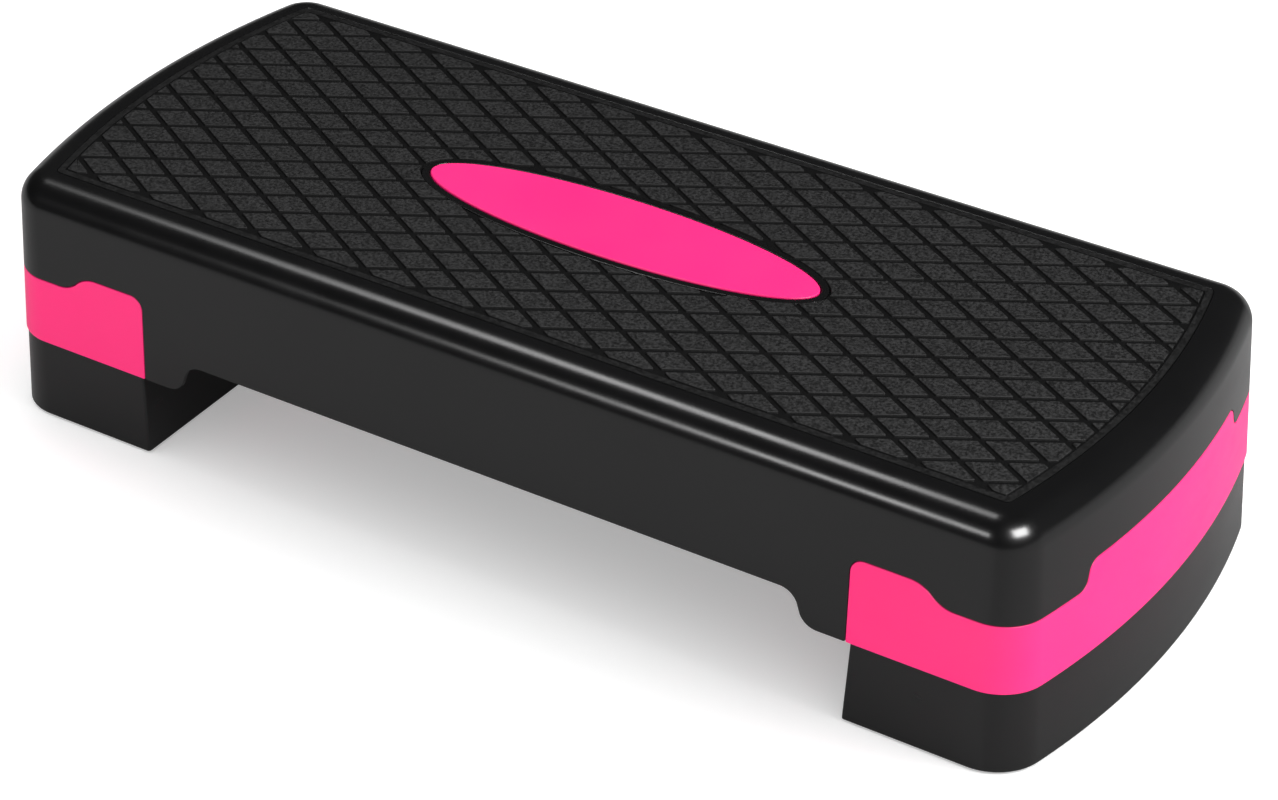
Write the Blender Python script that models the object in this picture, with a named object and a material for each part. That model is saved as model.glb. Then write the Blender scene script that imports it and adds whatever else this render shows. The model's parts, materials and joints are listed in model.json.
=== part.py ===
"""Adjustable aerobic step platform.

A long hollow deck with a rubber tread stands on two coloured upper risers, and these stand on two
black lower risers.  Every piece stacks into the next one and lifts off it straight up.
Metres, +Z up, +X along the deck, the floor at z = 0, the middle of the deck at x = y = 0.
"""
import math

import bmesh
import bpy
from mathutils import Matrix, Vector
from mathutils.geometry import delaunay_2d_cdt

# ---------------------------------------------------------------- levels above the floor
PAD_PROUD = 0.0010          # the rubber pads hold the hard plastic this far off the floor
FOOT_BOTTOM = PAD_PROUD
RISER_BOTTOM = FOOT_BOTTOM + 0.0485
FOOT_TOP = RISER_BOTTOM - 0.0003
DECK_BOTTOM = RISER_BOTTOM
DECK_TOP = FOOT_BOTTOM + 0.1480
GAP = 0.0003                # clearance between pieces that rest against each other

# ---------------------------------------------------------------- plan outline, at the floor
HALF_LENGTH = 0.3430        # middle of the bowed end
HALF_WIDTH = 0.1433
END_RADIUS = 0.5050         # the ends bow outwards
CORNER_RADIUS = 0.0300
CORNER_STEPS = 6
END_STEPS = 14

FOOT_TOP_INSET = 0.0023     # the lower riser leans inwards by this much
SKIN_INSET = 0.0013         # deck and upper riser share one skin, this far in at its lowest edge
DRAFT = math.tan(math.radians(3.0))
WALL = 0.0026

# ---------------------------------------------------------------- deck
EDGE_RADIUS = 0.0175        # round edge all round the top
EDGE_STEPS = 6
PLATE = 0.0026              # top plate under the tread
RECESS_DEPTH = 0.0016       # the tread lies in this recess
ARCH_TOP = FOOT_BOTTOM + 0.0678
ARCH_FLAT_X = 0.1865        # the long sides are cut up to ARCH_TOP between the tabs
ARCH_TAB_X = 0.2095
RIB = 0.0020
SPAN_RIB_BOTTOM = FOOT_BOTTOM + 0.1220      # ribs between the risers
BEARING_RIB_BOTTOM = FOOT_BOTTOM + 0.1060   # deeper ribs that stand on the upper risers
DECK_RIB_Y = (-0.1020, -0.0340, 0.0340, 0.1020)
SPAN_RIB_X = (-0.1600, -0.0960, -0.0320, 0.0320, 0.0960, 0.1600)
BEARING_RIB_X = (-0.2850, 0.2850)
POCKET_RIB_X = 0.2242       # cross wall that locates the upper riser

# ---------------------------------------------------------------- cut-outs for the upper risers
INBOARD_X = 0.2262
CUT_CORNER_RADIUS = 0.0080
CUT_SIDE_TOP = FOOT_BOTTOM + 0.1000
CUT_CORNER_TOP = FOOT_BOTTOM + 0.0892
CUT_END_TOP = FOOT_BOTTOM + 0.1040
CUT_SIDE_S = (0.2600, 0.2865)   # where the side edge drops to the corner level
CUT_END_S = (0.0765, 0.0925)    # where the end edge drops to the corner level

# ---------------------------------------------------------------- tread and inlay
TREAD_HALF_LENGTH = 0.3153
TREAD_HALF_WIDTH = 0.1170
TREAD_END_RADIUS = 0.4750
TREAD_CORNER_RADIUS = 0.0040
TREAD_THICKNESS = 0.0018
TREAD_BAND = 0.0040         # plain border, followed by a narrow groove
TREAD_BAND_GROOVE = 0.0012
CELL_X = 0.0375             # diagonals of the diamonds that the grooves leave standing
CELL_Y = 0.02175
CELL_REPEATS = 28           # enough repeats each way to cover the tread
CELL_LEAST_SIDE = 0.0020    # smaller scraps of a diamond are left out
GROOVE_WIDTH = 0.0032
GROOVE_DEPTH = 0.0010
FIELD_CORNER_RADIUS = 0.0020
INLAY_A = 0.1250
INLAY_B = 0.0300
INLAY_THICKNESS = 0.0020
INLAY_STEPS = 56
INLAY_EDGE = 0.0009         # soft top edge
COLLAR_INNER = 0.0007       # gap round the inlay
COLLAR_OUTER = 0.0050       # smooth raised band round the inlay, part of the deck
POCKET_DEPTH = 0.0018
PEG_RADIUS = 0.0016
PEG_LENGTH = 0.0070
PEG_STEPS = 12
PEG_X = (-0.0640, 0.0, 0.0640)

# ---------------------------------------------------------------- risers
RISER_TOP = BEARING_RIB_BOTTOM - GAP
RISER_PLATE = 0.0026
RISER_RIB_BOTTOM = FOOT_BOTTOM + 0.0640
RISER_RIB_X = 0.2850
RISER_RIB_Y = (-0.0340, 0.0340)
KEY_RIB_Y = (-0.0870, 0.0870)   # these ribs run lower and hold the lower riser's spigot
SPIGOT_X = (0.2335, 0.3180)
SPIGOT_HALF_WIDTH = 0.0840
SPIGOT_TOP = FOOT_BOTTOM + 0.0620
SPIGOT_EDGE = 0.0040
FOOT_RIB_Y = (-0.0680, 0.0, 0.0680)
FOOT_RIB_BOTTOM = FOOT_BOTTOM + 0.0030

# ---------------------------------------------------------------- pads
PAD_RADIUS = 0.0110
PAD_THICKNESS = 0.0030
PAD_EDGE = 0.0005
PAD_STEPS = 24
PAD_X = (0.2480, 0.3060)
PAD_Y = (-0.1030, 0.1030)
BOSS_RADIUS = 0.0140
BOSS_SHORT = 0.0004         # a boss stops this far above the riser's lower edge
WELL_RADIUS = 0.0120
WELL_DEPTH = 0.0013

FAR = 0.5                   # reaches past the whole object
SMOOTH_ANGLE = math.radians(35.0)


# ---------------------------------------------------------------- materials
def plastic(name, colour, roughness):
    material = bpy.data.materials.new(name)
    material.use_nodes = True
    shader = material.node_tree.nodes["Principled BSDF"]
    shader.inputs["Base Color"].default_value = (*colour, 1.0)
    shader.inputs["Roughness"].default_value = roughness
    shader.inputs["Metallic"].default_value = 0.0
    return material


def deck_plastic():
    return plastic("deck_plastic", (0.012, 0.012, 0.013), 0.32)


def tread_rubber():
    return plastic("tread_rubber", (0.022, 0.022, 0.023), 0.80)


def inlay_plastic():
    return plastic("inlay_plastic", (0.95, 0.030, 0.200), 0.42)


def upper_riser_plastic():
    return plastic("upper_riser_plastic", (0.95, 0.026, 0.190), 0.40)


def lower_riser_plastic():
    return plastic("lower_riser_plastic", (0.015, 0.015, 0.016), 0.38)


def pad_rubber():
    return plastic("pad_rubber", (0.018, 0.018, 0.018), 0.85)


# ---------------------------------------------------------------- outlines
def arc(cx, cy, radius, start, end, steps):
    points = []
    for i in range(steps + 1):
        angle = start + (end - start) * i / steps
        points.append((cx + radius * math.cos(angle), cy + radius * math.sin(angle)))
    return points


def end_curve(half_length, half_width, end_radius, corner_radius, corner_steps, end_steps):
    """The +X end from the -Y side to the +Y side: corner, bowed end, corner."""
    bow_x = half_length - end_radius
    corner_y = half_width - corner_radius
    corner_x = bow_x + math.sqrt((end_radius - corner_radius) ** 2 - corner_y ** 2)
    turn = math.atan2(corner_y, corner_x - bow_x)
    right_angle = math.pi / 2
    near = arc(corner_x, -corner_y, corner_radius, -right_angle, -turn, corner_steps)
    end = arc(bow_x, 0.0, end_radius, -turn, turn, end_steps)
    far = arc(corner_x, corner_y, corner_radius, turn, right_angle, corner_steps)
    return near + end[1:-1] + far


def whole_outline(curve):
    """Both ends joined by the straight long sides."""
    return curve + [(-x, -y) for x, y in curve]


def skin_curve(inset):
    return end_curve(HALF_LENGTH - inset, HALF_WIDTH - inset, END_RADIUS - inset,
                     CORNER_RADIUS - inset, CORNER_STEPS, END_STEPS)


def end_outline(inset, inboard_x, side):
    """One end of the plan, closed by a straight inboard edge."""
    curve = skin_curve(inset)
    points = [(inboard_x, curve[0][1])] + curve + [(inboard_x, curve[-1][1])]
    return [(side * x, y) for x, y in points]


def skin_inset(z):
    """How far the shared skin of deck and upper riser lies inside the plan outline."""
    return SKIN_INSET + (z - DECK_BOTTOM) * DRAFT


def foot_inset(z):
    return FOOT_TOP_INSET * (z - FOOT_BOTTOM) / (FOOT_TOP - FOOT_BOTTOM)


def ellipse(a, b, steps):
    points = []
    for i in range(steps):
        angle = 2 * math.pi * i / steps
        points.append((a * math.cos(angle), b * math.sin(angle)))
    return points


def s_curve(start, end, steps):
    """Two equal arcs, level at both ends, between two points of a side view."""
    (u0, v0), (u1, v1) = start, end
    du = u1 - u0
    dv = v1 - v0
    radius = (du * du + dv * dv) / (4 * abs(dv))
    points = []
    for i in range(steps + 1):
        share = i / steps
        along = min(share, 1 - share) * abs(du)
        rise = radius - math.sqrt(radius * radius - along * along)
        if share <= 0.5:
            points.append((u0 + du * share, v0 + math.copysign(rise, dv)))
        else:
            points.append((u0 + du * share, v1 - math.copysign(rise, dv)))
    return points


# ---------------------------------------------------------------- mesh helpers
def finish_mesh(name, bm):
    bmesh.ops.recalc_face_normals(bm, faces=bm.faces)
    mesh = bpy.data.meshes.new(name)
    bm.to_mesh(mesh)
    bm.free()
    obj = bpy.data.objects.new(name, mesh)
    bpy.context.scene.collection.objects.link(obj)
    return obj


def loft(name, rings):
    """A closed solid through rings of equally many points, each (outline, level)."""
    bm = bmesh.new()
    made = []
    for outline, z in rings:
        made.append([bm.verts.new((x, y, z)) for x, y in outline])
    for lower, upper in zip(made, made[1:]):
        count = len(lower)
        for i in range(count):
            j = (i + 1) % count
            bm.faces.new((lower[i], lower[j], upper[j], upper[i]))
    bm.faces.new(made[0])
    bm.faces.new(made[-1])
    return finish_mesh(name, bm)


def box(name, low, high):
    (x0, y0, z0), (x1, y1, z1) = low, high
    outline = [(x0, y0), (x1, y0), (x1, y1), (x0, y1)]
    return loft(name, [(outline, z0), (outline, z1)])


def disc(name, x, y, radius, bottom, top, steps):
    outline = [(x + u, y + v) for u, v in ellipse(radius, radius, steps)]
    return loft(name, [(outline, bottom), (outline, top)])


def side_prism(name, profile, depth):
    """A side view in X and Z, run right through along Y."""
    solid = loft(name, [(profile, -depth), (profile, depth)])
    solid.data.transform(Matrix.Rotation(math.radians(90), 4, "X"))
    return solid


def end_prism(name, profile, start, stop):
    """An end view in Y and Z, run along X from start to stop."""
    low, high = sorted((start, stop))
    solid = loft(name, [(profile, low), (profile, high)])
    turn = Matrix(((0, 0, 1, 0), (1, 0, 0, 0), (0, 1, 0, 0), (0, 0, 0, 1)))
    solid.data.transform(turn)
    return solid


def combine(target, tool, operation):
    """Adds, cuts or intersects the tool, and removes it."""
    modifier = target.modifiers.new("shape", "BOOLEAN")
    modifier.operation = operation
    modifier.solver = "EXACT"
    modifier.object = tool
    graph = bpy.context.evaluated_depsgraph_get()
    shaped = bpy.data.meshes.new_from_object(target.evaluated_get(graph))
    target.modifiers.clear()
    target.data = shaped
    bpy.data.objects.remove(tool)


def cut(target, tool):
    combine(target, tool, "DIFFERENCE")


def add(target, tool):
    combine(target, tool, "UNION")


def keep(target, tool):
    combine(target, tool, "INTERSECT")


def place(obj, name, origin, material, parent):
    """Names the finished piece, puts its origin on its axis and gives it its material."""
    obj.name = name
    obj.data.name = name
    obj.data.transform(Matrix.Translation(-origin))
    obj.location = origin
    obj.data.materials.clear()
    obj.data.materials.append(material)
    obj.data.shade_smooth()
    obj.data.set_sharp_from_angle(angle=SMOOTH_ANGLE)
    obj.parent = parent
    obj.matrix_parent_inverse = parent.matrix_world.inverted()
    return obj


def frame_empty(name, x, z):
    empty = bpy.data.objects.new(name, None)
    empty.location = (x, 0.0, z)
    empty.empty_display_size = 0.03
    bpy.context.scene.collection.objects.link(empty)
    bpy.context.view_layer.update()
    return empty


# ---------------------------------------------------------------- cut-out shapes
def side_cut_profile(side, clearance):
    """Side view of the opening that an upper riser fills, drawn in by the clearance."""
    left = INBOARD_X + clearance
    top = CUT_SIDE_TOP - clearance
    low = CUT_CORNER_TOP - clearance
    radius = CUT_CORNER_RADIUS
    corner = arc(left + radius, top - radius, radius, math.pi, math.pi / 2, 5)
    drop = s_curve((CUT_SIDE_S[0] - clearance, top), (CUT_SIDE_S[1] - clearance, low), 10)
    points = [(left, -FAR)] + corner + drop + [(FAR, low), (FAR, -FAR)]
    return [(side * x, z) for x, z in points]


def end_cut_profile(clearance):
    top = CUT_END_TOP - clearance
    low = CUT_CORNER_TOP - clearance
    rise = s_curve((clearance - CUT_END_S[1], low), (clearance - CUT_END_S[0], top), 8)
    fall = [(-y, z) for y, z in reversed(rise)]
    foot = -FAR
    return [(rise[0][0], foot)] + rise + fall + [(fall[-1][0], foot)]


def riser_opening(side, clearance):
    """The whole opening: one cut through the long sides and one through the bowed end."""
    opening = side_prism("opening", side_cut_profile(side, clearance), FAR)
    end = end_prism("end_opening", end_cut_profile(clearance), side * 0.3000, side * FAR)
    add(opening, end)
    return opening


def arch():
    """The long sides rise between the two tabs next to each riser."""
    right = s_curve((ARCH_FLAT_X, ARCH_TOP), (ARCH_TAB_X, DECK_BOTTOM), 10)
    left = [(-x, z) for x, z in reversed(right)]
    below = DECK_BOTTOM - WALL
    profile = [(-ARCH_TAB_X, below)] + left + right + [(ARCH_TAB_X, below)]
    return side_prism("arch", profile, FAR)


# ---------------------------------------------------------------- deck
def deck_block():
    """The deck as a solid block with drafted sides and a round top edge."""
    shoulder = DECK_TOP - EDGE_RADIUS
    rings = [(whole_outline(skin_curve(skin_inset(DECK_BOTTOM))), DECK_BOTTOM)]
    start = math.atan(DRAFT)
    centre_inset = skin_inset(shoulder) + EDGE_RADIUS * math.cos(start)
    for i in range(EDGE_STEPS + 1):
        angle = start + (math.pi / 2 - start) * i / EDGE_STEPS
        inset = centre_inset - EDGE_RADIUS * math.cos(angle)
        level = shoulder + EDGE_RADIUS * math.sin(angle)
        rings.append((whole_outline(skin_curve(inset)), level))
    return loft("deck_block", rings)


def deck_hollow():
    """The space under the top plate, less the ribs that stay standing in it."""
    ceiling = DECK_TOP - RECESS_DEPTH - PLATE
    chamfer = 0.0080
    below = DECK_BOTTOM - WALL
    rings = []
    for z, extra in ((below, 0.0), (ceiling - chamfer, 0.0), (ceiling, chamfer)):
        rings.append((whole_outline(skin_curve(skin_inset(z) + WALL + extra)), z))
    hollow = loft("deck_hollow", rings)
    stretches = ((-FAR, -POCKET_RIB_X, BEARING_RIB_BOTTOM),
                 (-POCKET_RIB_X, POCKET_RIB_X, SPAN_RIB_BOTTOM),
                 (POCKET_RIB_X, FAR, BEARING_RIB_BOTTOM))
    for y in DECK_RIB_Y:
        for start, stop, bottom in stretches:
            cut(hollow, box("rib", (start, y - RIB / 2, bottom), (stop, y + RIB / 2, FAR)))
    crossing = [(x, SPAN_RIB_BOTTOM) for x in SPAN_RIB_X]
    crossing += [(x, BEARING_RIB_BOTTOM) for x in BEARING_RIB_X]
    crossing += [(x, ARCH_TOP) for x in (-POCKET_RIB_X, POCKET_RIB_X)]
    for x, bottom in crossing:
        cut(hollow, box("rib", (x - RIB / 2, -FAR, bottom), (x + RIB / 2, FAR, FAR)))
    return hollow


def tread_outline(grow):
    corner = max(TREAD_CORNER_RADIUS + grow, FIELD_CORNER_RADIUS)
    return whole_outline(end_curve(TREAD_HALF_LENGTH + grow, TREAD_HALF_WIDTH + grow,
                                   TREAD_END_RADIUS + grow, corner, 3, END_STEPS))


def tread_recess():
    floor = DECK_TOP - RECESS_DEPTH
    outline = tread_outline(GAP)
    recess = loft("recess", [(outline, floor), (outline, FAR)])
    collar = ellipse(INLAY_A + COLLAR_OUTER, INLAY_B + COLLAR_OUTER, INLAY_STEPS)
    cut(recess, loft("collar", [(collar, 0.0), (collar, 2 * FAR)]))
    return recess


def inlay_pocket():
    outline = ellipse(INLAY_A + COLLAR_INNER, INLAY_B + COLLAR_INNER, INLAY_STEPS)
    return loft("pocket", [(outline, DECK_TOP - POCKET_DEPTH), (outline, FAR)])


def deck_shell(parent):
    deck = deck_block()
    cut(deck, deck_hollow())
    cut(deck, tread_recess())
    cut(deck, inlay_pocket())
    for x in PEG_X:
        cut(deck, disc("peg_hole", x, 0.0, PEG_RADIUS + GAP, SPAN_RIB_BOTTOM, DECK_TOP, PEG_STEPS))
    cut(deck, arch())
    for side in (-1, 1):
        cut(deck, riser_opening(side, 0.0))
    return place(deck, "deck_shell", Vector((0.0, 0.0, DECK_BOTTOM)), deck_plastic(), parent)


def clip(polygon, point, normal):
    """The part of a convex polygon on the side of a straight edge that its normal points away from."""
    out = []
    for i, here in enumerate(polygon):
        before = polygon[i - 1]
        ahead = (here - point).dot(normal)
        behind = (before - point).dot(normal)
        if (ahead < 0) != (behind < 0):
            out.append(before.lerp(here, behind / (behind - ahead)))
        if ahead < 0:
            out.append(here)
    return out


def clip_to_outline(polygon, outline):
    for i, start in enumerate(outline):
        edge = outline[(i + 1) % len(outline)] - start
        polygon = clip(polygon, start, Vector((edge.y, -edge.x)))
    return polygon


def clip_from_oval(polygon, centre, a, b):
    """Cuts a polygon along the tangent of the oval next to its centre."""
    angle = math.atan2(centre.y / b, centre.x / a)
    touch = Vector((a * math.cos(angle), b * math.sin(angle)))
    inwards = Vector((-math.cos(angle) / a, -math.sin(angle) / b))
    return clip(polygon, touch, inwards)


def tread_cells():
    """The diamonds, cut off at the border groove and at the groove round the collar."""
    border = [Vector(point) for point in tread_outline(-TREAD_BAND - TREAD_BAND_GROOVE)]
    around = COLLAR_OUTER + GAP + TREAD_BAND_GROOVE
    half = 0.5 - GROOVE_WIDTH / 2 * math.hypot(1 / CELL_X, 1 / CELL_Y)
    half_x, half_y = half * CELL_X, half * CELL_Y
    cells = []
    for row in range(-CELL_REPEATS, CELL_REPEATS + 1):
        for column in range(-CELL_REPEATS, CELL_REPEATS + 1):
            centre = Vector((CELL_X * (row + column) / 2, CELL_Y * (row - column) / 2))
            if abs(centre.x) > HALF_LENGTH or abs(centre.y) > HALF_WIDTH:
                continue
            corners = ((-half_x, 0.0), (0.0, -half_y), (half_x, 0.0), (0.0, half_y))
            cell = clip_to_outline([centre + Vector(corner) for corner in corners], border)
            cell = clip_from_oval(cell, centre, INLAY_A + around, INLAY_B + around)
            sides = [(point - cell[i - 1]).length for i, point in enumerate(cell)]
            if len(cell) > 2 and min(sides) < CELL_LEAST_SIDE / 4:
                cell = [point for point, side in zip(cell, sides) if side >= CELL_LEAST_SIDE / 4]
            if len(cell) > 2 and sorted(sides)[-2] > CELL_LEAST_SIDE:
                cells.append(cell)
    return cells


def ring(bm, outline, z):
    return [bm.verts.new((x, y, z)) for x, y in outline]


def wall(bm, outline, bottom, top):
    """An upright wall on a closed outline, as its lower and its upper ring."""
    low = ring(bm, outline, bottom)
    high = ring(bm, outline, top)
    for i in range(len(low)):
        j = (i + 1) % len(low)
        bm.faces.new((low[i], low[j], high[j], high[i]))
    return low, high


def level_area(bm, outer, holes):
    """Fills the area inside the outer ring and outside the others.  Every ring is convex, so a
    triangle lies in a hole only if its three corners do."""
    verts = []
    owner = []
    edges = []
    for number, loop in enumerate([outer] + holes):
        first = len(verts)
        edges += [(first + i, first + (i + 1) % len(loop)) for i in range(len(loop))]
        owner += [number] * len(loop)
        verts += loop
    points = [vert.co.xy for vert in verts]
    found = delaunay_2d_cdt(points, edges, [], 0, 1e-7)
    triangles, sources = found[2], found[3]
    for triangle in triangles:
        corners = [sources[i][0] for i in triangle]
        owners = {owner[i] for i in corners}
        if len(owners) > 1 or owners == {0}:
            bm.faces.new([verts[i] for i in corners])


def tread_mat(parent):
    """Rubber sheet with a plain border, diamonds between grooves and a hole for the collar."""
    bottom = DECK_TOP - RECESS_DEPTH + GAP
    top = bottom + TREAD_THICKNESS
    groove = top - GROOVE_DEPTH
    bm = bmesh.new()
    rim_low, rim_high = wall(bm, tread_outline(0.0), bottom, top)
    field_low, field_high = wall(bm, tread_outline(-TREAD_BAND), groove, top)
    oval = ellipse(INLAY_A + COLLAR_OUTER + GAP, INLAY_B + COLLAR_OUTER + GAP, INLAY_STEPS)
    hole_low, hole_high = wall(bm, oval, bottom, groove)
    feet = []
    for cell in tread_cells():
        foot, lid = wall(bm, cell, groove, top)
        bm.faces.new(lid)
        feet.append(foot)
    level_area(bm, rim_low, [hole_low])
    level_area(bm, rim_high, [field_high])
    level_area(bm, field_low, [hole_high] + feet)
    mat = finish_mesh("mat", bm)
    return place(mat, "tread_mat", Vector((0.0, 0.0, bottom)), tread_rubber(), parent)


def centre_inlay(parent):
    """Oval plate with a soft top edge and three pegs through the deck."""
    bottom = DECK_TOP - POCKET_DEPTH + GAP
    top = bottom + INLAY_THICKNESS
    rings = [(ellipse(INLAY_A, INLAY_B, INLAY_STEPS), bottom)]
    for i in range(3):
        angle = math.pi / 4 * i
        shrink = INLAY_EDGE * (1 - math.cos(angle))
        outline = ellipse(INLAY_A - shrink, INLAY_B - shrink, INLAY_STEPS)
        rings.append((outline, top - INLAY_EDGE * (1 - math.sin(angle))))
    inlay = loft("inlay", rings)
    for x in PEG_X:
        add(inlay, disc("peg", x, 0.0, PEG_RADIUS, bottom - PEG_LENGTH, top - WALL / 2, PEG_STEPS))
    return place(inlay, "centre_inlay", Vector((0.0, 0.0, bottom)), inlay_plastic(), parent)


# ---------------------------------------------------------------- risers
def end_loft(name, side, inboard_x, levels):
    """A solid end block from (inset, level) pairs."""
    return loft(name, [(end_outline(inset, inboard_x, side), z) for inset, z in levels])


def span(side, low, high):
    """Orders two X values after mirroring them to the wanted side."""
    return sorted((side * low, side * high))


def cross_rib(side, x, bottom):
    x0, x1 = span(side, x - RIB / 2, x + RIB / 2)
    return box("cross_rib", (x0, -FAR, bottom), (x1, FAR, FAR))


def long_rib(side, y, bottom):
    x0, x1 = span(side, 0.0, FAR)
    return box("long_rib", (x0, y - RIB / 2, bottom), (x1, y + RIB / 2, FAR))


def pad_places(side):
    return [(side * x, y) for x in PAD_X for y in PAD_Y]


def spare_bosses(hollow, side, level):
    """Leaves round bosses standing in a hollow, one over each pad."""
    for x, y in pad_places(side):
        cut(hollow, disc("boss", x, y, BOSS_RADIUS, level + BOSS_SHORT, FAR, PAD_STEPS))


def cut_sockets(block, side, level):
    """Round sockets in the bosses, a little larger than the pads."""
    floor = level - PAD_PROUD + PAD_THICKNESS + GAP
    for x, y in pad_places(side):
        cut(block, disc("socket", x, y, PAD_RADIUS + GAP, level - WALL, floor, PAD_STEPS))


def upper_riser(name, side, parent):
    skin = end_loft("skin", side, INBOARD_X + GAP, (
        (skin_inset(RISER_BOTTOM), RISER_BOTTOM), (skin_inset(RISER_TOP), RISER_TOP)))
    keep(skin, riser_opening(side, GAP))
    behind = WALL + GAP
    upstand = end_loft("upstand", side, INBOARD_X + GAP, (
        (skin_inset(RISER_BOTTOM) + behind, RISER_BOTTOM), (skin_inset(RISER_TOP) + behind, RISER_TOP)))
    add(skin, upstand)

    inside = behind + WALL
    below = RISER_BOTTOM - WALL
    ceiling = RISER_TOP - RISER_PLATE
    hollow = end_loft("hollow", side, INBOARD_X + GAP + WALL, (
        (skin_inset(below) + inside, below), (skin_inset(ceiling) + inside, ceiling)))
    cut(hollow, cross_rib(side, RISER_RIB_X, RISER_RIB_BOTTOM))
    for y in RISER_RIB_Y:
        cut(hollow, long_rib(side, y, RISER_RIB_BOTTOM))
    for y in KEY_RIB_Y:
        cut(hollow, long_rib(side, y, RISER_BOTTOM + BOSS_SHORT))
    spare_bosses(hollow, side, RISER_BOTTOM)
    cut(skin, hollow)
    cut_sockets(skin, side, RISER_BOTTOM)
    origin = Vector((side * RISER_RIB_X, 0.0, RISER_BOTTOM))
    return place(skin, name, origin, upper_riser_plastic(), parent)


def spigot(side, shrink, bottom, top):
    """Raised block on the lower riser that enters the upper riser."""
    x0, x1 = span(side, SPIGOT_X[0] + shrink, SPIGOT_X[1] - shrink)
    half = SPIGOT_HALF_WIDTH - shrink
    edge = SPIGOT_EDGE

    def plan(inset):
        return [(x0 + inset, inset - half), (x1 - inset, inset - half),
                (x1 - inset, half - inset), (x0 + inset, half - inset)]

    return loft("spigot", [(plan(0.0), bottom), (plan(0.0), top - edge), (plan(edge / 2), top)])


def lower_riser(name, side, parent):
    foot = end_loft("foot", side, INBOARD_X, (
        (foot_inset(FOOT_BOTTOM), FOOT_BOTTOM), (foot_inset(FOOT_TOP), FOOT_TOP)))
    add(foot, spigot(side, 0.0, FOOT_TOP - WALL / 2, SPIGOT_TOP))

    below = FOOT_BOTTOM - WALL
    ceiling = FOOT_TOP - WALL
    hollow = end_loft("hollow", side, INBOARD_X + WALL, (
        (foot_inset(below) + WALL, below), (foot_inset(ceiling) + WALL, ceiling)))
    add(hollow, spigot(side, WALL, ceiling - WALL, SPIGOT_TOP - WALL))
    cut(hollow, cross_rib(side, RISER_RIB_X, FOOT_RIB_BOTTOM))
    for y in FOOT_RIB_Y:
        cut(hollow, long_rib(side, y, FOOT_RIB_BOTTOM))
    spare_bosses(hollow, side, FOOT_BOTTOM)
    cut(foot, hollow)
    cut_sockets(foot, side, FOOT_BOTTOM)
    for x, y in pad_places(side):
        cut(foot, disc("well", x, y, WELL_RADIUS, FOOT_TOP - WELL_DEPTH, SPIGOT_TOP, PAD_STEPS))
    origin = Vector((side * RISER_RIB_X, 0.0, FOOT_BOTTOM))
    return place(foot, name, origin, lower_riser_plastic(), parent)


# ---------------------------------------------------------------- rubber pads
def pads(prefix, side, level, parent):
    """Four round anti-slip pads that stand a little below the given level."""
    bottom = level - PAD_PROUD
    for number, (x, y) in enumerate(pad_places(side), 1):
        rings = []
        for radius, z in ((PAD_RADIUS - PAD_EDGE, 0.0), (PAD_RADIUS, PAD_EDGE), (PAD_RADIUS, PAD_THICKNESS)):
            rings.append(([(x + u, y + v) for u, v in ellipse(radius, radius, PAD_STEPS)], bottom + z))
        pad = loft("pad", rings)
        place(pad, f"{prefix}_{number}", Vector((x, y, bottom)), pad_rubber(), parent)


# ---------------------------------------------------------------- assembly
def clear_scene():
    for obj in list(bpy.data.objects):
        bpy.data.objects.remove(obj, do_unlink=True)


def build():
    clear_scene()
    deck_frame = frame_empty("deck_frame", 0.0, DECK_BOTTOM)
    deck_shell(deck_frame)
    tread_mat(deck_frame)
    centre_inlay(deck_frame)
    for word, side in (("left", -1), ("right", 1)):
        upper_frame = frame_empty(f"upper_{word}_frame", side * RISER_RIB_X, RISER_BOTTOM)
        upper_riser(f"upper_riser_{word}", side, upper_frame)
        pads(f"upper_pad_{word}", side, RISER_BOTTOM, upper_frame)
        lower_frame = frame_empty(f"lower_{word}_frame", side * RISER_RIB_X, FOOT_BOTTOM)
        lower_riser(f"lower_riser_{word}", side, lower_frame)
        pads(f"lower_pad_{word}", side, FOOT_BOTTOM, lower_frame)


build()
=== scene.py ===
"""Looks of the aerobic step platform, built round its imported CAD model."""

import json
import math

import bpy
from mathutils import Matrix, Vector
from mathutils.geometry import delaunay_2d_cdt


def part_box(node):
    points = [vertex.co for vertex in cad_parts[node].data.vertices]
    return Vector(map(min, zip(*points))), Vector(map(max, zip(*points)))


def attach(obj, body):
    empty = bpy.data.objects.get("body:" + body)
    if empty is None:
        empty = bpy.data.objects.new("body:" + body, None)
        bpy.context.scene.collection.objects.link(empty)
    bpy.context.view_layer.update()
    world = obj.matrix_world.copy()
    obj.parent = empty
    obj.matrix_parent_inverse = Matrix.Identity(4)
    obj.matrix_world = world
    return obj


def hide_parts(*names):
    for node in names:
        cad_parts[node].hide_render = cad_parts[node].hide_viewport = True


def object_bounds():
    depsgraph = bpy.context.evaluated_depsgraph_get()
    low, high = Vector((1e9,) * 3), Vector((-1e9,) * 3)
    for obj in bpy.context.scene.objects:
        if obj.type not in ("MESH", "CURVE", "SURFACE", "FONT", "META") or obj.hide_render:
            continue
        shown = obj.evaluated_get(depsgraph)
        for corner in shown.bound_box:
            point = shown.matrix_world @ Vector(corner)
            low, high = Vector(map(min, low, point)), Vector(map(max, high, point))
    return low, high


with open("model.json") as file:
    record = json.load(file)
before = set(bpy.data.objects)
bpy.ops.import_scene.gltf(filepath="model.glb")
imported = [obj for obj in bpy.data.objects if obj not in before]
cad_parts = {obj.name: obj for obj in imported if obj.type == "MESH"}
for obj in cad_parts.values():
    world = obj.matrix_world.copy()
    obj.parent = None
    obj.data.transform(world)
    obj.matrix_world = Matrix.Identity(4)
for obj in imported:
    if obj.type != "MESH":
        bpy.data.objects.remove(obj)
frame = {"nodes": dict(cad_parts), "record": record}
cad_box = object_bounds()

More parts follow.
